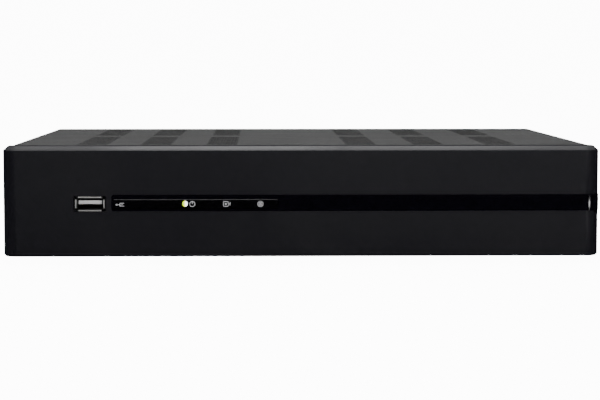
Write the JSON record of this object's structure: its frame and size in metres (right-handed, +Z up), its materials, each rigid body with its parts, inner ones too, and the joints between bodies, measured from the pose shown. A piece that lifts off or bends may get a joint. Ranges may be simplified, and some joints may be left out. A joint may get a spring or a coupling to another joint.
{
  "type": "video recorder",
  "caption": "Compact security video recorder: gloss indicator strip and data port in front, perforated steel cover, rear connector panel, disk drive, fan and rocker switch.",
  "frame": {"origin": "centre of the overall box at the level of the feet's undersides", "axes": "+X to the right as seen from the front, -Y out of the front face, +Z up"},
  "size_m": [0.3003, 0.2394, 0.0589],
  "materials": {
    "front_bezel": "fine matt moulding",
    "gloss_strip": "polished",
    "indicator_window": "smoked, polished",
    "light_pipes": "clear",
    "front_leds": "clear",
    "ir_receiver": "moulded",
    "front_usb_shell": "nickel plated",
    "front_usb_tongue": "moulded",
    "front_usb_contacts": "gold flashed",
    "front_board": "solder mask",
    "front_ribbon": "grey cable",
    "chassis_tray": "galvanised",
    "rear_panel": "powder coat",
    "top_cover": "powder coat",
    "rubber_feet": "moulded",
    "cover_screws": "black zinc",
    "chassis_screws": "zinc",
    "board_standoffs": "turned",
    "board_screws": "zinc",
    "main_board": "solder mask",
    "soc_heatsink": "extruded",
    "board_chips": "moulded",
    "board_capacitors": "sleeved",
    "coin_cell": "plain",
    "coin_cell_holder": "moulded",
    "bnc_housings": "moulded",
    "bnc_barrels": "nickel",
    "bnc_insulators": "moulded",
    "bnc_contacts": "gold flashed",
    "audio_housing": "moulded",
    "audio_shells": "nickel",
    "audio_inserts": "moulded",
    "vga_shell": "tin plated",
    "vga_insert": "moulded",
    "vga_jack_screws": "zinc",
    "hdmi_shell": "tin plated",
    "hdmi_tongue": "moulded",
    "ethernet_shell": "tin plated",
    "ethernet_insert": "moulded",
    "rear_usb_shell": "tin plated",
    "rear_usb_tongues": "moulded",
    "terminal_block": "moulded",
    "terminal_screws": "zinc",
    "dc_inlet": "moulded",
    "dc_inlet_pin": "nickel",
    "ground_screw": "zinc",
    "switch_housing": "moulded",
    "switch_rocker": "moulded",
    "fan_frame": "moulded",
    "fan_rotor": "moulded",
    "fan_screws": "black zinc",
    "fan_cable": "soft sleeve",
    "drive_case": "die cast",
    "drive_lid": "satin",
    "drive_board": "solder mask",
    "drive_platter": "mirror",
    "drive_head_arm": "machined",
    "drive_magnet": "plated",
    "drive_screws": "zinc",
    "drive_cables": "soft sleeve"
  },
  "bodies": {
    "case": {"front_bezel": "front_bezel", "gloss_strip": "gloss_strip", "indicator_window": "indicator_window", "light_pipes": "light_pipes", "front_leds": "front_leds", "ir_receiver": "ir_receiver", "front_usb_shell": "front_usb_shell", "front_usb_tongue": "front_usb_tongue", "front_usb_contacts": "front_usb_contacts", "front_board": "front_board", "front_ribbon": "front_ribbon", "chassis_tray": "chassis_tray", "rear_panel": "rear_panel", "top_cover": "top_cover", "rubber_feet": "rubber_feet", "cover_screws": "cover_screws", "chassis_screws": "chassis_screws", "board_standoffs": "board_standoffs", "board_screws": "board_screws", "main_board": "main_board", "soc_heatsink": "soc_heatsink", "board_chips": "board_chips", "board_capacitors": "board_capacitors", "coin_cell": "coin_cell", "coin_cell_holder": "coin_cell_holder", "bnc_housings": "bnc_housings", "bnc_barrels": "bnc_barrels", "bnc_insulators": "bnc_insulators", "bnc_contacts": "bnc_contacts", "audio_housing": "audio_housing", "audio_shells": "audio_shells", "audio_inserts": "audio_inserts", "vga_shell": "vga_shell", "vga_insert": "vga_insert", "vga_jack_screws": "vga_jack_screws", "hdmi_shell": "hdmi_shell", "hdmi_tongue": "hdmi_tongue", "ethernet_shell": "ethernet_shell", "ethernet_insert": "ethernet_insert", "rear_usb_shell": "rear_usb_shell", "rear_usb_tongues": "rear_usb_tongues", "terminal_block": "terminal_block", "terminal_screws": "terminal_screws", "dc_inlet": "dc_inlet", "dc_inlet_pin": "dc_inlet_pin", "ground_screw": "ground_screw", "switch_housing": "switch_housing", "fan_frame": "fan_frame", "fan_screws": "fan_screws", "fan_cable": "fan_cable", "drive_case": "drive_case", "drive_lid": "drive_lid", "drive_board": "drive_board", "drive_magnet": "drive_magnet", "drive_screws": "drive_screws", "drive_cables": "drive_cables"},
    "switch": {"switch_rocker": "switch_rocker"},
    "fan": {"fan_rotor": "fan_rotor"},
    "spindle": {"drive_platter": "drive_platter"},
    "heads": {"drive_head_arm": "drive_head_arm"}
  },
  "joints": [
    {"name": "power_switch", "type": "hinge", "parent": "case", "child": "switch", "pos_m": [0.112, 0.1065, 0.031], "axis": [1, 0, 0], "range_deg": [-20, 0]},
    {"name": "fan_spin", "type": "hinge", "parent": "case", "child": "fan", "pos_m": [-0.121, 0.1018, 0.0295], "axis": [0, 1, 0], "continuous": true},
    {"name": "disk_spin", "type": "hinge", "parent": "case", "child": "spindle", "pos_m": [0.089, -0.045, 0.0202], "axis": [0, 0, 1], "continuous": true},
    {"name": "head_sweep", "type": "hinge", "parent": "case", "child": "heads", "pos_m": [0.033, -0.02, 0.0222], "axis": [0, 0, 1], "range_deg": [-27, 0]}
  ]
}
